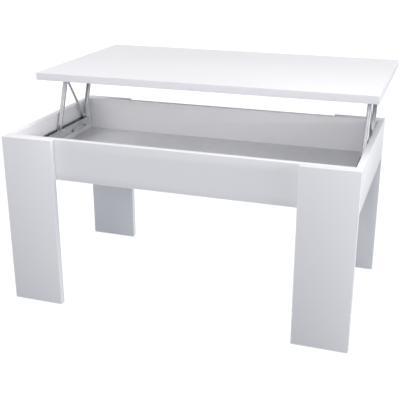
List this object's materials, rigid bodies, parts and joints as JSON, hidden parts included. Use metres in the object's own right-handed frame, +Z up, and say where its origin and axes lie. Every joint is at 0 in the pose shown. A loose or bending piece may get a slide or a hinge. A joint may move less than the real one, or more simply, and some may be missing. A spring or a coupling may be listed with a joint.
{
  "type": "lift top coffee table",
  "caption": "White lift top coffee table: a shallow storage box on board legs, with a top that rises and moves back on steel arm linkages.",
  "frame": {"origin": "on the floor, under the centre of the box's footprint", "axes": "+X along the table, +Y towards the side that the top lifts to, +Z up"},
  "size_m": [0.914, 0.7145, 0.5801],
  "materials": {
    "white_board": "satin white melamine foil on particle board",
    "edging": "satin white edging strip",
    "floor_board": "white lacquered hardboard",
    "white_plastic": "matt white",
    "black_plastic": "matt black nylon",
    "clear_rubber": "clear soft dots",
    "pressed_steel": "zinc plated pressed steel",
    "dark_steel": "dark phosphated steel",
    "pin_steel": "bright turned steel",
    "zinc_screw": "zinc plated"
  },
  "bodies": {
    "box": {"leg_front_left": "white_board", "leg_front_right": "white_board", "leg_rear_left": "white_board", "leg_rear_right": "white_board", "apron_front": "white_board", "apron_rear": "white_board", "end_panel_left": "white_board", "end_panel_right": "white_board", "storage_floor": "floor_board", "leg_screws": "zinc_screw", "leg_screw_caps": "white_plastic", "corner_screws": "zinc_screw", "floor_glides": "black_plastic", "base_channel_left": "pressed_steel", "base_channel_right": "pressed_steel", "base_channel_screws": "zinc_screw", "lower_pivot_pins": "pin_steel", "lower_pivot_washers": "black_plastic"},
    "front_arm_left": {"front_arm_left": "pressed_steel"},
    "front_arm_right": {"front_arm_right": "pressed_steel"},
    "rear_arm_left": {"rear_arm_left": "pressed_steel"},
    "rear_arm_right": {"rear_arm_right": "pressed_steel"},
    "top": {"tabletop": "white_board", "tabletop_edging": "edging", "top_channel_left": "pressed_steel", "top_channel_right": "pressed_steel", "top_channel_screws": "zinc_screw", "upper_pivot_pins": "pin_steel", "upper_pivot_washers": "black_plastic", "top_bumpers": "clear_rubber"},
    "strut_tube_left": {"strut_foot_left": "black_plastic", "strut_tube_left": "dark_steel", "strut_gland_left": "black_plastic"},
    "strut_rod_left": {"strut_rod_left": "pin_steel", "strut_eye_left": "dark_steel"},
    "strut_tube_right": {"strut_foot_right": "black_plastic", "strut_tube_right": "dark_steel", "strut_gland_right": "black_plastic"},
    "strut_rod_right": {"strut_rod_right": "pin_steel", "strut_eye_right": "dark_steel"}
  },
  "joints": [
    {"name": "lift", "type": "hinge", "parent": "box", "child": "front_arm_left", "pos_m": [-0.425, 0, 0.4065], "axis": [1, 0, 0], "range_deg": [0, 95.95]},
    {"name": "front_arm_right_turn", "type": "hinge", "parent": "box", "child": "front_arm_right", "pos_m": [0.425, 0, 0.4065], "axis": [1, 0, 0], "range_deg": [0, 95.95]},
    {"name": "rear_arm_left_turn", "type": "hinge", "parent": "box", "child": "rear_arm_left", "pos_m": [-0.425, 0.156, 0.4065], "axis": [1, 0, 0], "range_deg": [0, 95.95]},
    {"name": "rear_arm_right_turn", "type": "hinge", "parent": "box", "child": "rear_arm_right", "pos_m": [0.425, 0.156, 0.4065], "axis": [1, 0, 0], "range_deg": [0, 95.95]},
    {"name": "top_level", "type": "hinge", "parent": "front_arm_left", "child": "top", "pos_m": [-0.425, 0.05717, 0.55165], "axis": [1, 0, 0], "range_deg": [-95.95, 0]},
    {"name": "strut_tube_left_turn", "type": "hinge", "parent": "box", "child": "strut_tube_left", "pos_m": [-0.425, 0.156, 0.4065], "axis": [1, 0, 0], "range_deg": [0, 47.98]},
    {"name": "strut_rod_left_turn", "type": "hinge", "parent": "front_arm_left", "child": "strut_rod_left", "pos_m": [-0.425, 0.05717, 0.55165], "axis": [1, 0, 0], "range_deg": [-47.98, 0]},
    {"name": "strut_tube_right_turn", "type": "hinge", "parent": "box", "child": "strut_tube_right", "pos_m": [0.425, 0.156, 0.4065], "axis": [1, 0, 0], "range_deg": [0, 47.98]},
    {"name": "strut_rod_right_turn", "type": "hinge", "parent": "front_arm_right", "child": "strut_rod_right", "pos_m": [0.425, 0.05717, 0.55165], "axis": [1, 0, 0], "range_deg": [-47.98, 0]}
  ],
  "couplings": [
    {"joint": "front_arm_right_turn", "follows": "lift", "ratio": 1},
    {"joint": "rear_arm_left_turn", "follows": "lift", "ratio": 1},
    {"joint": "rear_arm_right_turn", "follows": "lift", "ratio": 1},
    {"joint": "top_level", "follows": "lift", "ratio": -1},
    {"joint": "strut_tube_left_turn", "follows": "lift", "ratio": 0.5},
    {"joint": "strut_rod_left_turn", "follows": "lift", "ratio": -0.5},
    {"joint": "strut_tube_right_turn", "follows": "lift", "ratio": 0.5},
    {"joint": "strut_rod_right_turn", "follows": "lift", "ratio": -0.5}
  ]
}
